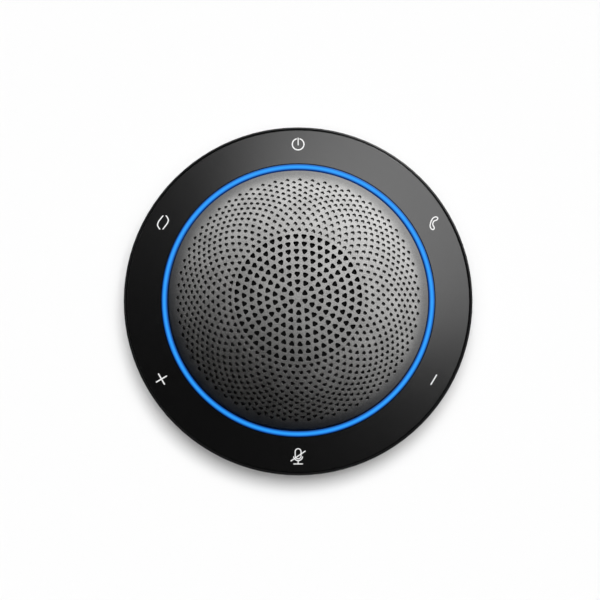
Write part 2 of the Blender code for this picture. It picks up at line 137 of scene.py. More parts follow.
# camera and stage
CAMERA_LENS = 171.06
CAMERA_TIP = 3.75              # degrees from straight down
CAMERA_DISTANCE = 1.0          # metres
CAMERA_AIM = (0.655, 0.0, 26.0)
LIGHT_AIM_Z = 0.03             # metres
FLOOR_RADIUS = 12.0            # metres
FLOOR_GAP = 0.02               # keeps the floor clear of the foot's underside
WORLD_DIM = 0.010              # what the white surroundings give as light

# name, azimuth, zenith, half angle seen from the puck, irradiance
KEY_LIGHT = ("key", 60.5, 67.0, 13.0, 7.3)
OVERHEAD_LIGHT = ("overhead", 57.0, 13.7, 24.8, 1.19)
# name, azimuth, zenith, angle, irradiance
FLOOR_SUN = ("floor_sun", 70.6, 8.2, 22.6, 2.71)
FLOOR_SKY = ("floor_sky", 70.6, 4.0, 40.5, 0.86)
FLOOR_FILL = ("floor_fill", 0.0, 0.0, 5.0, 0.32)


# ---------------------------------------------------------------- finishes

class Finish:
    """A Principled material and short calls for the nodes its pattern uses; lengths are in millimetres."""

    def __init__(self, name, colour, roughness, **values):
        self.material = bpy.data.materials.new(name + "_finish")
        self.material.use_nodes = True
        self.tree = self.material.node_tree
        self.shader = self.tree.nodes["Principled BSDF"]
        self.shader.inputs["Base Color"].default_value = (*colour, 1.0)
        self.shader.inputs["Roughness"].default_value = roughness
        for socket, value in values.items():
            self.shader.inputs[socket.replace("_", " ")].default_value = value
        self.place = self.add("ShaderNodeTexCoord").outputs["Object"]

    def add(self, kind, **settings):
        node = self.tree.nodes.new(kind)
        for key, value in settings.items():
            setattr(node, key, value)
        return node

    def feed(self, socket, value):
        if isinstance(value, bpy.types.NodeSocket):
            self.tree.links.new(value, socket)
        else:
            socket.default_value = value

    def sums(self, operation, *values):
        node = self.add("ShaderNodeMath", operation=operation)
        for socket, value in zip(node.inputs, values):
            self.feed(socket, value)
        return node.outputs[0]

    def noise(self, size, detail=2.0, roughness=0.5, place=None):
        node = self.add("ShaderNodeTexNoise")
        self.feed(node.inputs["Vector"], place or self.place)
        node.inputs["Scale"].default_value = 1.0 / (size * MM)
        node.inputs["Detail"].default_value = detail
        node.inputs["Roughness"].default_value = roughness
        return node.outputs["Fac"]

    def cells(self, size, feature="F1", randomness=1.0):
        node = self.add("ShaderNodeTexVoronoi", feature=feature)
        self.feed(node.inputs["Vector"], self.place)
        node.inputs["Scale"].default_value = 1.0 / (size * MM)
        node.inputs["Randomness"].default_value = randomness
        return node.outputs["Distance"]

    def wave(self, pitch, direction="X", rings=False, distortion=0.0):
        node = self.add("ShaderNodeTexWave")
        if rings:
            node.wave_type = "RINGS"
            node.rings_direction = "Z"
        else:
            node.bands_direction = direction
        self.feed(node.inputs["Vector"], self.place)
        node.inputs["Scale"].default_value = math.tau / (20.0 * pitch * MM)
        node.inputs["Distortion"].default_value = distortion
        return node.outputs["Fac"]

    def axis(self, name):
        node = self.add("ShaderNodeSeparateXYZ")
        self.feed(node.inputs[0], self.place)
        return node.outputs[name]

    def radius(self):
        """Distance from the upright axis of the puck, in metres."""
        x = self.axis("X")
        y = self.axis("Y")
        return self.sums("SQRT", self.sums("ADD", self.sums("MULTIPLY", x, x), self.sums("MULTIPLY", y, y)))

    def between(self, value, low, high, to_low, to_high, smooth=True):
        """value from low..high mapped to to_low..to_high, and held past the ends."""
        node = self.add("ShaderNodeMapRange")
        node.interpolation_type = "SMOOTHSTEP" if smooth else "LINEAR"
        for socket, amount in zip(("Value", "From Min", "From Max", "To Min", "To Max"),
                                  (value, low, high, to_low, to_high)):
            self.feed(node.inputs[socket], amount)
        return node.outputs["Result"]

    def ramp(self, value, *stops):
        """Colours along value: each stop is (place, (r, g, b))."""
        node = self.add("ShaderNodeValToRGB")
        self.feed(node.inputs["Fac"], value)
        elements = node.color_ramp.elements
        while len(elements) < len(stops):
            elements.new(1.0)
        for element, (spot, colour) in zip(elements, stops):
            element.position = spot
            element.color = (*colour, 1.0)
        return node.outputs["Color"]

    def mix(self, factor, first, second):
        node = self.add("ShaderNodeMix", data_type="RGBA")
        self.feed(node.inputs["Factor"], factor)
        colours = [socket for socket in node.inputs if socket.type == "RGBA"]
        for socket, colour in zip(colours, (first, second)):
            self.feed(socket, colour if isinstance(colour, bpy.types.NodeSocket) else (*colour, 1.0))
        return [socket for socket in node.outputs if socket.type == "RGBA"][0]

    def colour(self, source):
        self.feed(self.shader.inputs["Base Color"], source)

    def vary(self, value, middle, swing):
        """Drive the roughness from a 0..1 pattern, swing either side of middle."""
        spread = self.between(value, 0.25, 0.75, middle - swing, middle + swing, smooth=False)
        self.feed(self.shader.inputs["Roughness"], spread)

    def glow(self, source, strength):
        self.feed(self.shader.inputs["Emission Color"], source)
        self.shader.inputs["Emission Strength"].default_value = strength

    def bump(self, height, depth):
        """Relief from a 0..1 pattern, depth in millimetres from lowest to highest."""
        node = self.add("ShaderNodeBump")
        node.inputs["Strength"].default_value = 1.0
        node.inputs["Distance"].default_value = depth * MM
        self.feed(node.inputs["Height"], height)
        last = self.shader.inputs["Normal"]
        if last.is_linked:
            self.feed(node.inputs["Normal"], last.links[0].from_socket)
        self.feed(last, node.outputs["Normal"])


def shades(colour, *amounts):
    """Copies of one colour, lighter or darker."""
    return [tuple(min(1.0, part * amount) for part in colour) for amount in amounts]


def moulded(name, colour, roughness, grain, depth, **values):
    """Moulded plastic: spark-eroded grain, slow colour drift and uneven gloss."""
    finish = Finish(name, colour, roughness, **values)
    drift = finish.noise(9.0, 3.0)
    dark, light = shades(colour, 0.90, 1.10)
    finish.colour(finish.ramp(drift, (0.3, dark), (0.7, light)))
    finish.vary(finish.noise(1.6, 2.0), roughness, 0.04)
    pits = finish.cells(grain)
    fine = finish.noise(grain * 0.6, 3.0, 0.6)
    grains = finish.sums("ADD", finish.sums("MULTIPLY", pits, 0.6), finish.sums("MULTIPLY", fine, 0.6))
    finish.bump(grains, depth)
    return finish.material


def metal(name, colour, roughness, scratch=0.25):
    """Plated metal with fine drawn lines and a little tarnish."""
    finish = Finish(name, colour, roughness, Metallic=1.0)
    tarnish = finish.noise(2.2, 4.0, 0.6)
    dark, light = shades(colour, 0.78, 1.06)
    finish.colour(finish.ramp(tarnish, (0.3, dark), (0.7, light)))
    lines = finish.wave(scratch, "Z", distortion=2.0)
    finish.vary(finish.noise(0.8, 3.0), roughness, 0.08)
    finish.bump(lines, 0.004)
    return finish.material


def depth_under_dome(finish, radius):
    """Metres below the dome's outer sphere."""
    lift = finish.sums("SUBTRACT", finish.axis("Z"), SPHERE_Z * MM)
    squares = finish.sums("ADD", finish.sums("MULTIPLY", lift, lift), finish.sums("MULTIPLY", radius, radius))
    return finish.sums("SUBTRACT", SPHERE * MM, finish.sums("SQRT", squares))


def make_grille_finish():
    """Grey moulding with a fine grain, darker at the plain rim, with painted shade down the walls of its
    holes and pits.
    """
    grey = (0.288, 0.286, 0.281)
    finish = Finish("grille_plastic", grey, 0.72, Specular_IOR_Level=0.4)
    drift = finish.noise(6.0, 4.0, 0.55)
    speck = finish.noise(0.42, 2.0, 0.6)
    pattern = finish.sums("ADD", finish.sums("MULTIPLY", drift, 0.35), finish.sums("MULTIPLY", speck, 0.65))
    dark, light = shades(grey, 0.78, 1.22)
    plain = finish.ramp(pattern, (0.40, dark), (0.60, light))
    radius = finish.radius()
    rim = finish.between(radius, 40.0 * MM, 45.0 * MM, 0.0, 1.0)
    rim_dark, rim_light = shades(grey, 0.36, 0.46)
    skin = finish.mix(rim, plain, finish.ramp(pattern, (0.35, rim_dark), (0.65, rim_light)))
    # painted shade: down the walls of the pits and all through the holes, the colour is mixed towards
    # near-black
    depth = depth_under_dome(finish, radius)
    painted_shade_depth = finish.between(depth, 0.04 * MM, 0.14 * MM, 0.0, 0.92)
    pit_floor = finish.between(depth, 0.46 * MM, 0.60 * MM, 0.0, 1.0)
    pitted = finish.between(radius, 22.5 * MM, 23.0 * MM, 0.0, 1.0)
    above_skirt = finish.between(finish.axis("Z"), 26.5 * MM, 27.5 * MM, 0.0, 1.0)
    wall = finish.sums("SUBTRACT", 1.0, finish.sums("MULTIPLY", pit_floor, pitted))
    shadow = finish.sums("MULTIPLY", finish.sums("MULTIPLY", painted_shade_depth, above_skirt), wall)
    # the near-black that the painted shade in the holes and pits mixes in
    finish.colour(finish.mix(shadow, skin, (0.012, 0.012, 0.012)))
    finish.vary(finish.noise(1.2, 2.0), 0.72, 0.05)
    grain = finish.sums("ADD", finish.sums("MULTIPLY", finish.cells(0.42), 0.6), finish.noise(0.26, 3.0, 0.6))
    finish.bump(grain, 0.060)
    return finish.material


def make_fascia_finish():
    """Satin black silicone skin: hardly any colour of its own, soft gloss, very fine grain."""
    black = (0.0008, 0.0008, 0.0009)
    finish = Finish("fascia_skin", black, 0.22, Specular_IOR_Level=1.0)
    drift = finish.noise(7.0, 3.0)
    dark, light = shades(black, 0.8, 1.25)
    finish.colour(finish.ramp(drift, (0.3, dark), (0.7, light)))
    finish.vary(finish.noise(2.5, 4.0, 0.6), 0.22, 0.012)
    finish.bump(finish.noise(0.34, 3.0, 0.6), 0.005)
    return finish.material


def make_light_finish():
    """Frosted light guide, brightest along its middle and deep blue at its edges."""
    finish = Finish("light_ring", (0.01, 0.03, 0.07), 0.50, Specular_IOR_Level=0.10)
    off = finish.sums("ABSOLUTE", finish.sums("SUBTRACT", finish.radius(), LIGHT_MIDDLE * MM))
    share = finish.sums("DIVIDE", off, LIGHT_HALF * MM)
    drift = finish.noise(5.0, 2.0)
    finish.glow(finish.ramp(share, (0.0, (0.016, 0.365, 0.98)), (0.34, (0.011, 0.27, 0.86)),
                            (0.72, (0.002, 0.095, 0.44)), (1.0, (0.0005, 0.020, 0.12))), 1.0)
    finish.colour(finish.ramp(drift, (0.3, (0.008, 0.025, 0.060)), (0.7, (0.012, 0.035, 0.080))))
    finish.vary(finish.noise(0.8, 3.0), 0.50, 0.04)
    finish.bump(finish.noise(0.25, 2.0), 0.006)
    return finish.material


def make_print_finish():
    """White screen-printed ink, lit from behind, with the mesh of the screen in its surface."""
    white = (0.14, 0.14, 0.14)
    finish = Finish("icon_print", white, 0.55)
    patches = finish.noise(0.5, 3.0)
    dark, light = shades(white, 0.88, 1.08)
    finish.colour(finish.ramp(patches, (0.35, dark), (0.65, light)))
    finish.glow(finish.ramp(patches, (0.35, (0.90, 0.90, 0.90)), (0.65, (1.0, 1.0, 1.0))), 0.72)
    finish.vary(finish.noise(0.4, 2.0), 0.55, 0.05)
    finish.bump(finish.noise(0.12, 2.0), 0.004)
    return finish.material


def weave_heights(finish, pitch):
    """Plain weave: warp over weft on alternate threads."""
    wander = 0.6
    across = finish.wave(pitch, "X", distortion=wander)
    along = finish.wave(pitch, "Y", distortion=wander)
    slow_across = finish.wave(pitch * 2.0, "X", distortion=wander)
    slow_along = finish.wave(pitch * 2.0, "Y", distortion=wander)
    over = finish.sums("ABSOLUTE", finish.sums("SUBTRACT", slow_across, slow_along))
    warp = finish.sums("MULTIPLY", across, over)
    weft = finish.sums("MULTIPLY", along, finish.sums("SUBTRACT", 1.0, over))
    return finish.sums("ADD", warp, weft)


def make_cloth_finish():
    """Thin black acoustic cloth, with painted shade where the threads dip under each other."""
    black = (0.0045, 0.0045, 0.0050)
    finish = Finish("acoustic_cloth", black, 0.92, Sheen_Weight=0.3, Sheen_Roughness=0.5)
    height = weave_heights(finish, 0.36)
    # painted shade: the colour darkens where the weave is low, between the threads
    dark, light = shades(black, 0.45, 1.35)
    finish.colour(finish.ramp(height, (0.1, dark), (0.9, light)))
    finish.vary(finish.noise(0.6, 2.0), 0.90, 0.05)
    finish.bump(height, 0.08)
    return finish.material


def make_rubber_finish(name, colour, roughness, ribs=0.0):
    """Dusty matt rubber; ribs is the pitch of its raised rings, if it has any."""
    finish = Finish(name, colour, roughness, Specular_IOR_Level=0.35)
    dust = finish.noise(3.0, 5.0, 0.65)
    dark, light = shades(colour, 0.75, 1.6)
    finish.colour(finish.ramp(dust, (0.35, dark), (0.75, light)))
    finish.vary(finish.noise(0.7, 3.0), roughness, 0.06)
    finish.bump(finish.noise(0.25, 3.0, 0.6), 0.02)
    if ribs:
        finish.bump(finish.wave(ribs, rings=True), 0.10)
    return finish.material


def make_board_finish():
    """Solder mask over copper: traces show as slightly lighter, raised lines."""
    green = (0.010, 0.085, 0.045)
    finish = Finish("circuit_board", green, 0.35)
    tracks = finish.cells(2.6, "DISTANCE_TO_EDGE", 0.75)
    copper = finish.between(tracks, 0.035, 0.055, 1.0, 0.0)
    pads = finish.between(finish.cells(3.4), 0.16, 0.19, 1.0, 0.0)
    dark, light = shades(green, 0.85, 1.15)
    mask = finish.ramp(finish.noise(4.0, 3.0), (0.3, dark), (0.7, light))
    tracked = finish.mix(copper, mask, (0.030, 0.160, 0.085))
    finish.colour(finish.mix(pads, tracked, (0.62, 0.50, 0.26)))
    finish.vary(finish.noise(1.0, 2.0), 0.35, 0.06)
    finish.bump(finish.sums("MAXIMUM", copper, pads), 0.035)
    return finish.material


def make_ferrite_finish():
    """Sintered magnet: matt grey and slightly pitted."""
    grey = (0.050, 0.050, 0.054)
    finish = Finish("ferrite", grey, 0.62)
    dark, light = shades(grey, 0.6, 1.5)
    finish.colour(finish.ramp(finish.noise(0.7, 5.0, 0.7), (0.3, dark), (0.75, light)))
    finish.vary(finish.noise(1.5, 3.0), 0.62, 0.10)
    finish.bump(finish.noise(0.3, 4.0, 0.7), 0.04)
    return finish.material


def make_paper_finish():
    """Pressed pulp with long fibres."""
    grey = (0.030, 0.030, 0.032)
    finish = Finish("cone_paper", grey, 0.85)
    stretch = finish.add("ShaderNodeMapping")
    finish.feed(stretch.inputs["Vector"], finish.place)
    stretch.inputs["Scale"].default_value = (1.0, 4.0, 1.0)
    fibres = finish.noise(1.1, 6.0, 0.75, stretch.outputs["Vector"])
    dark, light = shades(grey, 0.6, 2.2)
    finish.colour(finish.ramp(fibres, (0.35, dark), (0.7, light)))
    finish.vary(fibres, 0.85, 0.06)
    finish.bump(fibres, 0.06)
    return finish.material


def make_coil_finish():
    """Enamelled copper wire wound in even turns, with painted shade in the grooves between them."""
    copper = (0.72, 0.30, 0.14)
    finish = Finish("coil", copper, 0.28, Metallic=1.0, Coat_Weight=0.6)
    turns = finish.wave(0.22, "Z")
    # painted shade: the colour darkens where the turns dip, in the grooves between the wires
    dark, light = shades(copper, 0.35, 1.1)
    finish.colour(finish.ramp(turns, (0.1, dark), (0.6, light)))
    finish.vary(finish.noise(0.5, 3.0), 0.28, 0.06)
    finish.bump(turns, 0.08)
    return finish.material


def make_foam_finish():
    """Open-cell foam, with painted shade in its pores."""
    grey = (0.060, 0.060, 0.064)
    finish = Finish("foam", grey, 0.95)
    pores = finish.cells(0.45)
    # painted shade: the colour darkens towards the middle of each pore, where the bump sinks
    dark, light = shades(grey, 0.25, 1.5)
    finish.colour(finish.ramp(pores, (0.15, dark), (0.55, light)))
    finish.vary(finish.noise(0.5, 2.0), 0.93, 0.04)
    finish.bump(pores, 0.20)
    return finish.material


def make_wrap_finish():
    """Shrink wrap: glossy film with faint wrinkles."""
    blue = (0.045, 0.110, 0.240)
    finish = Finish("battery_wrap", blue, 0.32, Coat_Weight=0.4)
    wrinkles = finish.noise(6.0, 5.0, 0.55)
    dark, light = shades(blue, 0.8, 1.25)
    finish.colour(finish.ramp(wrinkles, (0.3, dark), (0.7, light)))
    finish.vary(finish.noise(2.0, 3.0), 0.32, 0.07)
    finish.bump(wrinkles, 0.25)
    return finish.material


def make_ribbon_finish():
    """Polyimide film with copper conductors showing through."""
    amber = (0.42, 0.17, 0.025)
    finish = Finish("ribbon", amber, 0.30)
    lines = finish.between(finish.wave(1.0), 0.45, 0.55, 0.0, 1.0)
    dark, light = shades(amber, 0.8, 1.2)
    base = finish.ramp(finish.noise(2.0, 3.0), (0.3, dark), (0.7, light))
    finish.colour(finish.mix(lines, base, (0.60, 0.28, 0.10)))
    finish.vary(finish.noise(1.0, 2.0), 0.30, 0.05)
    finish.bump(lines, 0.03)
    return finish.material


def make_led_finish():
    """Pale LED package with a faint blue glow of its own."""
    white = (0.78, 0.76, 0.66)
    finish = Finish("led_chip", white, 0.38)
    patches = finish.noise(0.9, 2.0)
    dark, light = shades(white, 0.85, 1.05)
    finish.colour(finish.ramp(patches, (0.35, dark), (0.65, light)))
    finish.vary(finish.noise(0.5, 2.0), 0.38, 0.06)
    finish.glow((0.03, 0.36, 1.0, 1.0), 0.6)
    finish.bump(patches, 0.03)
    return finish.material


def make_spider_finish():
    """Resin-stiffened woven disc, with painted shade where the threads dip under each other."""
    tan = (0.50, 0.28, 0.09)
    finish = Finish("spider_cloth", tan, 0.80, Sheen_Weight=0.2)
    height = weave_heights(finish, 0.42)
    # painted shade: the colour darkens where the weave is low, between the threads
    dark, light = shades(tan, 0.45, 1.2)
    finish.colour(finish.ramp(height, (0.1, dark), (0.9, light)))
    finish.vary(finish.noise(1.0, 2.0), 0.80, 0.06)
    finish.bump(height, 0.09)
    return finish.material


finishes = {
    "casing_plastic": moulded("casing_plastic", (0.0070, 0.0070, 0.0076), 0.58, 0.38, 0.016,
                              Specular_IOR_Level=0.20),
    "fascia_skin": make_fascia_finish(),
    "grille_plastic": make_grille_finish(),
    "light_ring": make_light_finish(),
    "foot_rubber": make_rubber_finish("foot_rubber", (0.022, 0.022, 0.023), 0.82, 1.2),
    "acoustic_cloth": make_cloth_finish(),
    "key_plastic": moulded("key_plastic", (0.110, 0.110, 0.115), 0.50, 0.30, 0.012),
    "circuit_board": make_board_finish(),
    "chip": moulded("chip", (0.020, 0.020, 0.021), 0.48, 0.10, 0.010),
    "plated_steel": metal("plated_steel", (0.60, 0.60, 0.61), 0.27),
    "zinc": metal("zinc", (0.48, 0.49, 0.50), 0.38, 0.35),
    "ferrite": make_ferrite_finish(),
    "cone_paper": make_paper_finish(),
    "surround_rubber": make_rubber_finish("surround_rubber", (0.018, 0.018, 0.019), 0.70),
    "spider_cloth": make_spider_finish(),
    "coil": make_coil_finish(),
    "foam": make_foam_finish(),
    "battery_wrap": make_wrap_finish(),
    "ribbon": make_ribbon_finish(),
    "led_chip": make_led_finish(),
}
print_finish = make_print_finish()


# ---------------------------------------------------------------- mesh helpers

def finished(shape, name):
    """Turn a bmesh into a mesh, and free it."""
    mesh = bpy.data.meshes.new(name)
    shape.to_mesh(mesh)
    shape.free()
    return mesh


def add_thing(name, data):
    thing = bpy.data.objects.new(name, data)
    bpy.context.scene.collection.objects.link(thing)
    return thing


def add_piece(name, mesh, slot, body="casing", material=None):
    """A piece of the object. It rides on body, or on none if no body is given."""
    piece = add_thing(name, mesh)
    mesh.materials.append(material or finishes[slot])
    if body:
        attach(piece, body)
    return piece


def polar(radius, degrees):
    return Vector((radius * math.cos(math.radians(degrees)), radius * math.sin(math.radians(degrees))))


def fascia_z(radius):
    """Height of the fascia's outer surface."""
    return SKIN_TOP_Z - FASCIA_SLOPE * (radius - SKIN_INNER)


# ---------------------------------------------------------------- grille

def rounded_triangle(side, corner, squash, per_corner):
    """Outline round the origin, one corner pointing along -X; squash shortens it along X."""
    points = []
    centre_reach = side / math.sqrt(3.0)
    for index in range(3):
        facing = 180.0 + 120.0 * index
        for step in range(per_corner):
            turn = facing + 120.0 * (step / (per_corner - 1) - 0.5)
            point = polar(centre_reach, facing) + polar(corner, turn)
            points.append((point.x * squash, point.y))
    return np.array(points)


def pattern_places():
    """(arc from the crown, azimuth, through or not, outline) of every hole and pit."""
    places = []
    hole = rounded_triangle(HOLE_SIDE, HOLE_CORNER, 1.0, 5)
    for ring in range(1, HOLE_RINGS + 1):
        for step in range(6 * ring):
            places.append((HOLE_PITCH * ring, PATTERN_TURN + 60.0 * step / ring, True, hole))
    arc = PIT_FIRST
    for ring in range(PIT_RINGS):
        squash = 1.0 - (1.0 - PIT_SQUASH) * min(1.0, ring / PIT_SQUASH_RINGS)
        pit = -rounded_triangle(PIT_SIDE, PIT_CORNER, squash, 4)
        turn = PATTERN_TURN + (180.0 / PIT_COUNT if ring % 2 == 0 else 0.0)
        for step in range(PIT_COUNT):
            places.append((arc, turn + 360.0 * step / PIT_COUNT, False, pit))
        arc += max(PIT_PITCH_LEAST, PIT_PITCH - PIT_PITCH_DROP * ring)
    return places


def flat_outline(place, inset):
    """The outline on the unrolled dome, shrunk towards its middle by inset."""
    arc, azimuth, _, outline = place
    reach = np.linalg.norm(outline, axis=1)
    shrunk = outline * ((reach - inset) / reach)[:, None]
    turn = math.radians(azimuth)
    out = np.array((math.cos(turn), math.sin(turn)))
    side = np.array((-out[1], out[0]))
    return (arc + shrunk[:, :1]) * out + shrunk[:, 1:] * side


def on_dome(flat, depth):
    """Unrolled dome points (N, 2) as 3-D points at a depth under the outer sphere, and outward normals."""
    arc = np.linalg.norm(flat, axis=1)
    tilt = arc / SPHERE
    away = flat / np.maximum(arc, 1e-9)[:, None]
    normals = np.column_stack((away * np.sin(tilt)[:, None], np.cos(tilt)))
    points = normals * (SPHERE - depth)
    points[:, 2] += SPHERE_Z
    return points, normals


def circle(radius, sides, turn=0.0):
    angles = np.radians(np.arange(sides) * 360.0 / sides + turn)
    return np.column_stack((radius * np.cos(angles), radius * np.sin(angles)))


class Shell:
    """Points, normals and faces of the grille, gathered row by row."""

    def __init__(self):
        self.points = []
        self.normals = []
        self.faces = []
        self.count = 0

    def add(self, points, normals):
        first = self.count
        self.points.append(points)
        self.normals.append(normals)
        self.count += len(points)
        return np.arange(first, self.count)

    def band(self, upper, lower):
        """Quads between two closed rows with as many points each."""
        ahead = np.roll(np.arange(len(upper)), -1)
        for index, following in enumerate(ahead):
            self.faces.append((upper[index], upper[following], lower[following], lower[index]))

    def fan(self, row, middle):
        ahead = np.roll(np.arange(len(row)), -1)
        for index, following in enumerate(ahead):
            self.faces.append((row[index], row[following], middle))

    def skin(self, rows, extra, facing_up):
        """Triangles between closed outlines. Rows are (indices, flat points), the outer edge first; extra
        is points to use between them. A triangle whose corners all lie on one inner outline fills a hole."""
        flat = [points for _, points in rows]
        owner = np.concatenate([np.full(len(points), number) for number, points in enumerate(flat)]
                               + [np.full(len(extra[1]), -1)])
        index = np.concatenate([row for row, _ in rows] + [extra[0]])
        spots = np.concatenate(flat + [extra[1]])
        edges = []
        first = 0
        for points in flat:
            size = len(points)
            edges += [(first + step, first + (step + 1) % size) for step in range(size)]
            first += size
        found = delaunay_2d_cdt([Vector(spot) for spot in spots], edges, [], 0, 1e-7, True)
        origin = [ids[0] for ids in found[3]]
        for face in found[2]:
            corners = [origin[corner] for corner in face]
            owners = {owner[corner] for corner in corners}
            if len(owners) == 1 and owners.pop() > 0:
                continue
            a, b, c = (spots[corner] for corner in corners)
            turn = (b[0] - a[0]) * (c[1] - a[1]) - (b[1] - a[1]) * (c[0] - a[0])
            if (turn > 0) != facing_up:
                corners.reverse()
            self.faces.append(tuple(index[corner] for corner in corners))

    def mesh(self, name):
        points = np.concatenate(self.points) * MM
        mesh = bpy.data.meshes.new(name)
        mesh.from_pydata(points.tolist(), [], [tuple(int(corner) for corner in face) for face in self.faces])
        mesh.shade_smooth()
        normals = np.concatenate(self.normals)
        normals /= np.linalg.norm(normals, axis=1)[:, None]
        mesh.normals_split_custom_set_from_vertices(normals.tolist())
        mesh.update()
        return mesh


def inward(flat, place, up):
    """Normals on a hole's wall: towards the hole's middle, and up by a share."""
    middle = np.array(polar(place[0], place[1]))
    points, normals = on_dome(flat, 0.0)
    centre, _ = on_dome(middle[None, :], 0.0)
    pull = centre - points
    pull /= np.linalg.norm(pull, axis=1)[:, None]
    return pull * (1.0 - up) + normals * up


def turned_row(shell, radius, z, sides, normal):
    """A level ring of points with normals (outward, up)."""
    flat = circle(radius, sides)
    away = flat / radius
    points = np.column_stack((flat, np.full(sides, z)))
    normals = np.column_stack((away * normal[0], np.full(sides, normal[1])))
    return shell.add(points, normals)


def make_wall(shell, place, top):
    """The wall of a hole, or the wall and floor of a pit. A hole returns its outline in the underside."""
    mouth = flat_outline(place, HOLE_LIP)
    points, _ = on_dome(mouth, HOLE_LIP)
    round_row = shell.add(points, inward(mouth, place, 0.25))
    shell.band(top, round_row)
    if place[2]:
        wall = flat_outline(place, HOLE_TAPER)
        points, normals = on_dome(wall, GRILLE_THICKNESS)
        foot = shell.add(points, inward(wall, place, 0.0))
        shell.band(round_row, foot)
        return shell.add(points, -normals), wall
    wall = flat_outline(place, PIT_TAPER)
    points, _ = on_dome(wall, PIT_DEPTH - PIT_FILLET)
    foot = shell.add(points, inward(wall, place, 0.1))
    shell.band(round_row, foot)
    floor = flat_outline(place, PIT_TAPER + PIT_FILLET)
    points, normals = on_dome(floor, PIT_DEPTH - 0.01)
    ground = shell.add(points, normals * 0.85 + inward(floor, place, 0.0) * 0.15)
    shell.band(foot, ground)
    middle, normal = on_dome(np.array(polar(place[0], place[1]))[None, :], PIT_DEPTH)
    shell.fan(ground, shell.add(middle, normal)[0])
    return None


def make_grille():
    shell = Shell()
    rim_radius = GRILLE_RADIUS - RIM_ROUND
    rim_arc = SPHERE * math.asin(rim_radius / SPHERE)
    edge_flat = circle(rim_arc, GRILLE_SIDES)
    edge = shell.add(*on_dome(edge_flat, 0.0))
    top_rows = [(edge, edge_flat)]
    extra_flat = np.concatenate([circle(rim_arc - 0.75, 200, 0.4), circle(rim_arc - 1.6, 180, 1.1),
                                 circle(0.55, 5, 10.0)])
    extra = shell.add(*on_dome(extra_flat, 0.0))
    under_arc = SPHERE * math.asin(SKIRT_INNER / (SPHERE - GRILLE_THICKNESS))
    under_flat = circle(under_arc, SKIRT_SIDES)
    points, normals = on_dome(under_flat, GRILLE_THICKNESS)
    under_rows = [(shell.add(points, -normals), under_flat)]
    under_extra_flat = np.concatenate([circle(30.0, 90), circle(36.0, 90, 2.0),
                                       circle(under_arc - 3.0, 100, 1.0), circle(0.6, 4)])
    points, normals = on_dome(under_extra_flat, GRILLE_THICKNESS)
    under_extra = shell.add(points, -normals)
    for place in pattern_places():
        lip = flat_outline(place, 0.0)
        top = shell.add(*on_dome(lip, 0.0))
        top_rows.append((top, lip))
        lower = make_wall(shell, place, top)
        if lower:
            under_rows.append(lower)
    shell.skin(top_rows, (extra, extra_flat), True)
    shell.skin(under_rows, (under_extra, under_extra_flat), False)
    make_skirt(shell, edge, rim_radius)
    piece = add_piece("grille_dome", shell.mesh("grille_dome"), "grille_plastic")
    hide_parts("speaker_grille")
    return piece


def make_skirt(shell, edge, rim_radius):
    """Rounded rim, outer wall, foot and inner wall of the skirt."""
    rim_z = SPHERE_Z + math.sqrt(SPHERE ** 2 - rim_radius ** 2)
    rows = [edge]
    tilt = math.asin(rim_radius / SPHERE)
    for step in range(1, 4):
        angle = tilt + (math.pi / 2 - tilt) * step / 3
        reach = (math.sin(angle) - math.sin(tilt)) / (1.0 - math.sin(tilt))
        fall = (math.cos(tilt) - math.cos(angle)) / math.cos(tilt)
        rows.append(turned_row(shell, rim_radius + RIM_ROUND * reach, rim_z - RIM_DROP * fall, GRILLE_SIDES,
                               (math.sin(angle), math.cos(angle))))
    rows.append(turned_row(shell, GRILLE_RADIUS, SKIRT_BOTTOM, GRILLE_SIDES, (1.0, 0.0)))
    for upper, lower in zip(rows, rows[1:]):
        shell.band(lower, upper)
    outer_foot = turned_row(shell, GRILLE_RADIUS, SKIRT_BOTTOM, SKIRT_SIDES, (0.0, -1.0))
    inner_foot = turned_row(shell, SKIRT_INNER, SKIRT_BOTTOM, SKIRT_SIDES, (0.0, -1.0))
    shell.band(outer_foot, inner_foot)
    inner_low = turned_row(shell, SKIRT_INNER, SKIRT_BOTTOM, SKIRT_SIDES, (-1.0, 0.0))
    under_z = SPHERE_Z + math.sqrt((SPHERE - GRILLE_THICKNESS) ** 2 - SKIRT_INNER ** 2)
    inner_high = turned_row(shell, SKIRT_INNER, under_z, SKIRT_SIDES, (-1.0, 0.0))
    shell.band(inner_low, inner_high)


# ---------------------------------------------------------------- cloth

def make_cloth():
    """Acoustic cloth stretched under the dome, one closed thin sheet."""
    sphere = SPHERE - CLOTH_INSET
    shape = bmesh.new()
    rows = []
    steps = 26
    sides = 96
    for step in range(1, steps + 1):
        tilt = math.asin(CLOTH_RADIUS / sphere) * step / steps
        rows.append([shape.verts.new((sphere * math.sin(tilt) * math.cos(math.tau * side / sides) * MM,
                                      sphere * math.sin(tilt) * math.sin(math.tau * side / sides) * MM,
                                      (SPHERE_Z + sphere * math.cos(tilt)) * MM)) for side in range(sides)])
    crown = shape.verts.new((0.0, 0.0, (SPHERE_Z + sphere) * MM))
    for side in range(sides):
        following = (side + 1) % sides
        shape.faces.new((crown, rows[0][side], rows[0][following]))
        for inner, outer in zip(rows, rows[1:]):
            shape.faces.new((inner[side], outer[side], outer[following], inner[following]))
    mesh = finished(shape, "acoustic_cloth_sheet")
    mesh.shade_smooth()
    piece = add_piece("acoustic_cloth_sheet", mesh, "acoustic_cloth")
    thick = piece.modifiers.new("thickness", "SOLIDIFY")
    thick.thickness = CLOTH_THICKNESS * MM
    thick.offset = -1.0
    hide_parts("acoustic_cloth")


# ---------------------------------------------------------------- loudspeaker surround

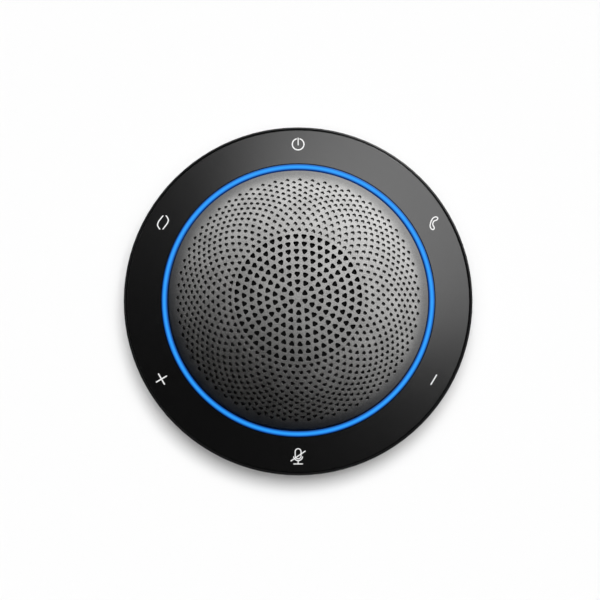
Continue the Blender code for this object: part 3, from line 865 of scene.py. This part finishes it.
def surround_profile():
    """(radius, height) points round the half-roll's section, from its lip over the cone outwards and back."""
    base = SURROUND_Z
    inner_roll = SURROUND_ROLL - SURROUND_SHEET
    upper = []
    lower = []
    for step in range(SURROUND_STEPS + 1):
        angle = math.pi * step / SURROUND_STEPS
        upper.append((SURROUND_MIDDLE - SURROUND_ROLL * math.cos(angle),
                      base + SURROUND_SHEET + SURROUND_ROLL * math.sin(angle)))
        lower.append((SURROUND_MIDDLE - inner_roll * math.cos(angle), base + inner_roll * math.sin(angle)))
    lip = [(SURROUND_LIP, base), (SURROUND_LIP, base + SURROUND_SHEET)]
    foot = [(SURROUND_FOOT, base + SURROUND_SHEET), (SURROUND_FOOT, base)]
    return lip + upper + foot + list(reversed(lower))


def surround_sector(name, middle, width):
    """The section swept through width degrees, middle being the sector's azimuth, with closed ends."""
    profile = surround_profile()
    count = len(profile)
    shape = bmesh.new()
    rows = []
    for step in range(SURROUND_SPLITS + 1):
        azimuth = middle + width * (step / SURROUND_SPLITS - 0.5)
        rows.append([shape.verts.new((*(polar(radius, azimuth) * MM), height * MM))
                     for radius, height in profile])
    for near, far in zip(rows, rows[1:]):
        for index in range(count):
            following = (index + 1) % count
            shape.faces.new((near[index], near[following], far[following], far[index]))
    shape.faces.new(rows[0])
    shape.faces.new(list(reversed(rows[-1])))
    bmesh.ops.recalc_face_normals(shape, faces=shape.faces)
    mesh = finished(shape, name)
    mesh.shade_smooth()
    mesh.set_sharp_from_angle(angle=math.radians(SURROUND_SHARP_ANGLE))
    return mesh


def make_surround():
    """The rubber surround in sectors, each running between the casing and the cone over its own slice of the
    ring.
    """
    width = 360.0 / SURROUND_SECTORS
    for sector in range(SURROUND_SECTORS):
        name = "surround_sector_%02d" % (sector + 1)
        middle = width * sector
        piece = add_piece(name, surround_sector(name, middle, width), "surround_rubber", body=None)
        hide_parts("driver_surround")
        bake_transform(piece)


# ---------------------------------------------------------------- printed icons

def arc_points(centre, radius, start, end, steps):
    return [Vector(centre) + polar(radius, start + (end - start) * step / steps) for step in range(steps + 1)]


def curve_between(before, here, ahead, beyond, steps=6):
    """Catmull-Rom points from here up to, but not at, ahead."""
    return [0.5 * (2.0 * here + (ahead - before) * t
                   + (2.0 * before - 5.0 * here + 4.0 * ahead - beyond) * t * t
                   + (3.0 * here - before - 3.0 * ahead + beyond) * t ** 3)
            for t in (step / steps for step in range(steps))]


def smooth_loop(points):
    """A closed curve through the points."""
    count = len(points)
    curve = []
    for index in range(count):
        curve += curve_between(*(points[(index + shift) % count] for shift in (-1, 0, 1, 2)))
    return curve


def smooth_line(points):
    """An open curve through the points."""
    padded = [points[0] * 2.0 - points[1]] + points + [points[-1] * 2.0 - points[-2]]
    curve = []
    for index in range(1, len(padded) - 2):
        curve += curve_between(*padded[index - 1:index + 3])
    return curve + [points[-1]]


def stroke(shape, points, width, lift, closed=False):
    """A printed line along 2-D points in millimetres, with round ends, lying on the fascia."""
    half = width / 2.0
    count = len(points)

    def drop(point):
        return shape.verts.new((point.x * MM, point.y * MM, (fascia_z(point.length) + lift) * MM))

    left, right = [], []
    for index, point in enumerate(points):
        if closed:
            run = points[(index + 1) % count] - points[index - 1]
        else:
            run = points[min(index + 1, count - 1)] - points[max(index - 1, 0)]
        run.normalize()
        aside = Vector((-run.y, run.x)) * half
        left.append(drop(point + aside))
        right.append(drop(point - aside))
    last = count if closed else count - 1
    for index in range(last):
        following = (index + 1) % count
        shape.faces.new((left[index], right[index], right[following], left[following]))
    if closed:
        return
    for end, ahead, first, second in ((points[0], points[1], left[0], right[0]),
                                      (points[-1], points[-2], right[-1], left[-1])):
        back = (end - ahead).normalized()
        aside = Vector((-back.y, back.x))
        cap = []
        for step in range(1, 6):
            angle = math.pi * step / 6
            cap.append(drop(end + (aside * -math.cos(angle) + back * math.sin(angle)) * half))
        shape.faces.new([first] + cap + [second])


def icon_power():
    ring = arc_points((0, 0), 2.05, 90 + 19, 450 - 19, 48)
    bar = [Vector((0, 2.25)), Vector((0, 0.85)), Vector((0, -0.25))]
    return [(ring, False, ICON_LINE), (bar, False, ICON_LINE * 0.85)]


def icon_handset():
    half = [(-1.08, 0.0), (-1.02, 0.75), (-0.80, 1.60), (-0.17, 2.25), (0.55, 2.32), (0.80, 1.85),
            (0.55, 1.30), (0.05, 0.90), (-0.22, 0.45)]
    loop = [Vector(point) for point in half] + [Vector((-0.28, 0.0))]
    loop += [Vector((u, -v)) for u, v in reversed(half[1:])]
    turn = Matrix.Rotation(math.radians(-20.0), 2)
    outline = [turn @ point + Vector((0.15, -0.20)) for point in smooth_loop(loop)]
    return [(outline, True, ICON_LINE * 0.9)]


def icon_minus():
    return [([polar(-1.90, 59.0), Vector((0, 0)), polar(1.90, 59.0)], False, ICON_LINE)]


def icon_plus():
    return [([polar(-2.05, 30.0), Vector((0, 0)), polar(2.05, 30.0)], False, ICON_LINE * 1.1),
            ([polar(-2.05, 120.0), Vector((0, 0)), polar(2.05, 120.0)], False, ICON_LINE * 1.1)]


def icon_pairing():
    half = [Vector((-0.05, 2.32)), Vector((-0.85, 1.30)), Vector((-1.60, 0.25)), Vector((-1.90, -0.85)),
            Vector((-1.55, -1.75)), Vector((-1.12, -2.32))]
    other = [-point for point in half]
    return [(smooth_line(half), False, ICON_LINE), (smooth_line(other), False, ICON_LINE)]


def icon_mute():
    line = ICON_LINE * 0.88
    half = 1.02
    capsule = arc_points((0, 1.85), half, 180, 0, 14) + arc_points((0, 0.35), half, 0, -180, 14)
    cradle = arc_points((0, 0.30), 1.58, 190, 350, 16)
    stem = [Vector((0, -1.30)), Vector((0, -1.9)), Vector((0, -2.45))]
    foot = [Vector((-1.50, -2.45)), Vector((0, -2.45)), Vector((1.50, -2.45))]
    middle = Vector((0, 0.32))
    slash = [polar(-3.00, 34.5) + middle, middle, polar(3.00, 34.5) + middle]
    return [(capsule, True, line), (cradle, False, line), (stem, False, line), (foot, False, line),
            (slash, False, line * 1.05)]


def make_icons():
    """Printed icons: each has its radius and azimuth on the fascia, and a function for its strokes, which
    are (points, closed, width) round the icon's own middle."""
    icons = {"power_icon": (55.15, 90, icon_power), "call_icon": (54.95, 30, icon_handset),
             "volume_down_icon": (55.15, -30.4, icon_minus), "mute_icon": (54.95, -90, icon_mute),
             "volume_up_icon": (55.35, 210, icon_plus), "pairing_icon": (54.95, 150, icon_pairing)}
    for name, (radius, azimuth, draw) in icons.items():
        centre = polar(radius, azimuth)
        shape = bmesh.new()
        for number, (points, closed, width) in enumerate(draw()):
            lift = ICON_THICKNESS + ICON_LAYER * number
            stroke(shape, [centre + point for point in points], width, lift, closed)
        bmesh.ops.recalc_face_normals(shape, faces=shape.faces)
        for face in shape.faces:
            if face.normal.z < 0:
                face.normal_flip()
        piece = add_piece(name, finished(shape, name), None, material=print_finish)
        thick = piece.modifiers.new("ink", "SOLIDIFY")
        thick.thickness = (ICON_THICKNESS + ICON_SINK) * MM
        thick.offset = -1.0


# ---------------------------------------------------------------- port contacts

def make_contacts():
    """Gold pads on both faces of the USB socket's tongue."""
    low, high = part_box("usb_c_port")
    middle_z = (low.z + high.z) / 2
    size = Matrix.Diagonal((*(side * MM for side in PAD_SIZE), 1.0))
    shape = bmesh.new()
    for face in (-1, 1):
        for number in range(PAD_COUNT):
            x = (number - (PAD_COUNT - 1) / 2) * PAD_PITCH * MM
            spot = Matrix.Translation((x, high.y - PAD_SETBACK * MM, middle_z + face * PAD_HEIGHT * MM))
            bmesh.ops.create_cube(shape, size=1.0, matrix=spot @ size)
    gold = metal("gold_plate", (0.90, 0.62, 0.22), 0.24, 0.2)
    piece = add_piece("port_contacts", finished(shape, "port_contacts"), None, material=gold)
    edge = piece.modifiers.new("rounded", "BEVEL")
    edge.width = 0.02 * MM
    edge.segments = 2


# ---------------------------------------------------------------- stage

def make_floor():
    shape = bmesh.new()
    bmesh.ops.create_circle(shape, cap_ends=True, segments=64, radius=FLOOR_RADIUS)
    floor = add_thing("floor", finished(shape, "floor"))
    paper = Finish("floor_paper", (0.80, 0.80, 0.80), 1.0, Specular_IOR_Level=0.0)
    floor.data.materials.append(paper.material)
    floor.location.z = -FLOOR_GAP * MM
    return floor


def make_world():
    """White behind the floor as the camera sees it, and nearly dark as light."""
    world = bpy.data.worlds.new("studio")
    bpy.context.scene.world = world
    world.use_nodes = True
    tree = world.node_tree
    tree.nodes.clear()
    seen = tree.nodes.new("ShaderNodeBackground")
    seen.inputs["Color"].default_value = (1.0, 1.0, 1.0, 1.0)
    dim = tree.nodes.new("ShaderNodeBackground")
    dim.inputs["Color"].default_value = (1.0, 1.0, 1.0, 1.0)
    dim.inputs["Strength"].default_value = WORLD_DIM
    path = tree.nodes.new("ShaderNodeLightPath")
    choose = tree.nodes.new("ShaderNodeMixShader")
    output = tree.nodes.new("ShaderNodeOutputWorld")
    tree.links.new(path.outputs["Is Camera Ray"], choose.inputs[0])
    tree.links.new(dim.outputs[0], choose.inputs[1])
    tree.links.new(seen.outputs[0], choose.inputs[2])
    tree.links.new(choose.outputs[0], output.inputs[0])


def group_of(name, members):
    """A light-linking group: a light that has it reaches everything but its members."""
    group = bpy.data.collections.new(name)
    for member in members:
        group.objects.link(member)
    for link in group.collection_objects:
        link.light_linking.link_state = "EXCLUDE"
    return group


def face_puck(thing, azimuth, zenith, distance):
    """Place a light on a sphere round the puck, facing the puck."""
    away = Vector((*polar(math.sin(math.radians(zenith)), azimuth), math.cos(math.radians(zenith))))
    thing.location = Vector((0.0, 0.0, LIGHT_AIM_Z)) + away * distance
    thing.rotation_mode = "QUATERNION"
    thing.rotation_quaternion = away.to_track_quat("Z", "Y")


def softbox(name, azimuth, zenith, spread, irradiance, receivers, distance=1.5):
    """A round area light: spread is its half angle seen from the puck, irradiance what reaches the puck."""
    light = bpy.data.lights.new(name, "AREA")
    light.shape = "DISK"
    light.size = 2.0 * distance * math.tan(math.radians(spread))
    light.energy = irradiance * math.pi * distance ** 2 / math.cos(math.radians(spread)) ** 2
    thing = add_thing(name, light)
    face_puck(thing, azimuth, zenith, distance)
    thing.visible_camera = False
    thing.light_linking.receiver_collection = receivers


def far_light(name, azimuth, zenith, angle, irradiance, receivers, shadows=True):
    """A distant light, whose angle is how wide it looks."""
    light = bpy.data.lights.new(name, "SUN")
    light.energy = irradiance
    light.angle = math.radians(angle)
    light.use_shadow = shadows
    thing = add_thing(name, light)
    face_puck(thing, azimuth, zenith, 2.0)
    thing.light_linking.receiver_collection = receivers


def make_lights(floor, grille):
    """Two softboxes for the puck, and three distant lights that set the floor's white and its shadow."""
    only_floor = bpy.data.collections.new("lights_floor")
    only_floor.objects.link(floor)
    softbox(*KEY_LIGHT, group_of("lights_puck", [floor]))
    softbox(*OVERHEAD_LIGHT, group_of("lights_fascia", [floor, grille]))
    far_light(*FLOOR_SUN, only_floor)
    far_light(*FLOOR_SKY, only_floor)
    far_light(*FLOOR_FILL, only_floor, shadows=False)


def make_camera():
    """Nearly overhead, tipped a little towards the mute key's side."""
    camera = bpy.data.cameras.new("camera")
    camera.sensor_width = 36.0
    camera.lens = CAMERA_LENS
    camera.clip_start = 0.05
    camera.clip_end = 20.0
    thing = add_thing("camera", camera)
    tip = math.radians(CAMERA_TIP)
    back = Vector((0.0, -math.sin(tip), math.cos(tip)))
    thing.location = Vector([part * MM for part in CAMERA_AIM]) + back * CAMERA_DISTANCE
    thing.rotation_mode = "QUATERNION"
    thing.rotation_quaternion = back.to_track_quat("Z", "Y")
    bpy.context.scene.camera = thing


# ---------------------------------------------------------------- CAD nodes

def make_smoother():
    """Geometry nodes that shade turned and moulded faces smooth and keep edges sharper than SHARP_ANGLE."""
    group = bpy.data.node_groups.new("smooth_shading", "GeometryNodeTree")
    group.interface.new_socket("Geometry", in_out="INPUT", socket_type="NodeSocketGeometry")
    group.interface.new_socket("Geometry", in_out="OUTPUT", socket_type="NodeSocketGeometry")
    enter = group.nodes.new("NodeGroupInput")
    leave = group.nodes.new("NodeGroupOutput")
    weld = group.nodes.new("GeometryNodeMergeByDistance")
    weld.inputs["Distance"].default_value = WELD_DISTANCE * MM
    angle = group.nodes.new("GeometryNodeInputMeshEdgeAngle")
    sharp = group.nodes.new("ShaderNodeMath")
    sharp.operation = "GREATER_THAN"
    sharp.inputs[1].default_value = math.radians(SHARP_ANGLE)
    normals = group.nodes.new("GeometryNodeSetMeshNormal")
    normals.mode = "SHARPNESS"
    normals.inputs["Remove Custom"].default_value = True
    group.links.new(enter.outputs[0], weld.inputs["Geometry"])
    group.links.new(weld.outputs[0], normals.inputs["Mesh"])
    group.links.new(angle.outputs["Unsigned Angle"], sharp.inputs[0])
    group.links.new(sharp.outputs[0], normals.inputs["Edge Sharpness"])
    group.links.new(normals.outputs[0], leave.inputs[0])
    return group


def dress_nodes():
    """Give every carried-over CAD node its finish and smooth shading."""
    smoother = make_smoother()
    for node in nodes.values():
        for slot in node.material_slots:
            slot.material = finishes[slot.material.name]
        node.modifiers.new("smooth_shading", "NODES").node_group = smoother


# ---------------------------------------------------------------- build

bpy.context.scene.view_settings.view_transform = "Standard"
dress_nodes()
make_camera()
grille = make_grille()
make_cloth()
make_surround()
make_icons()
make_contacts()
floor = make_floor()
make_world()
make_lights(floor, grille)
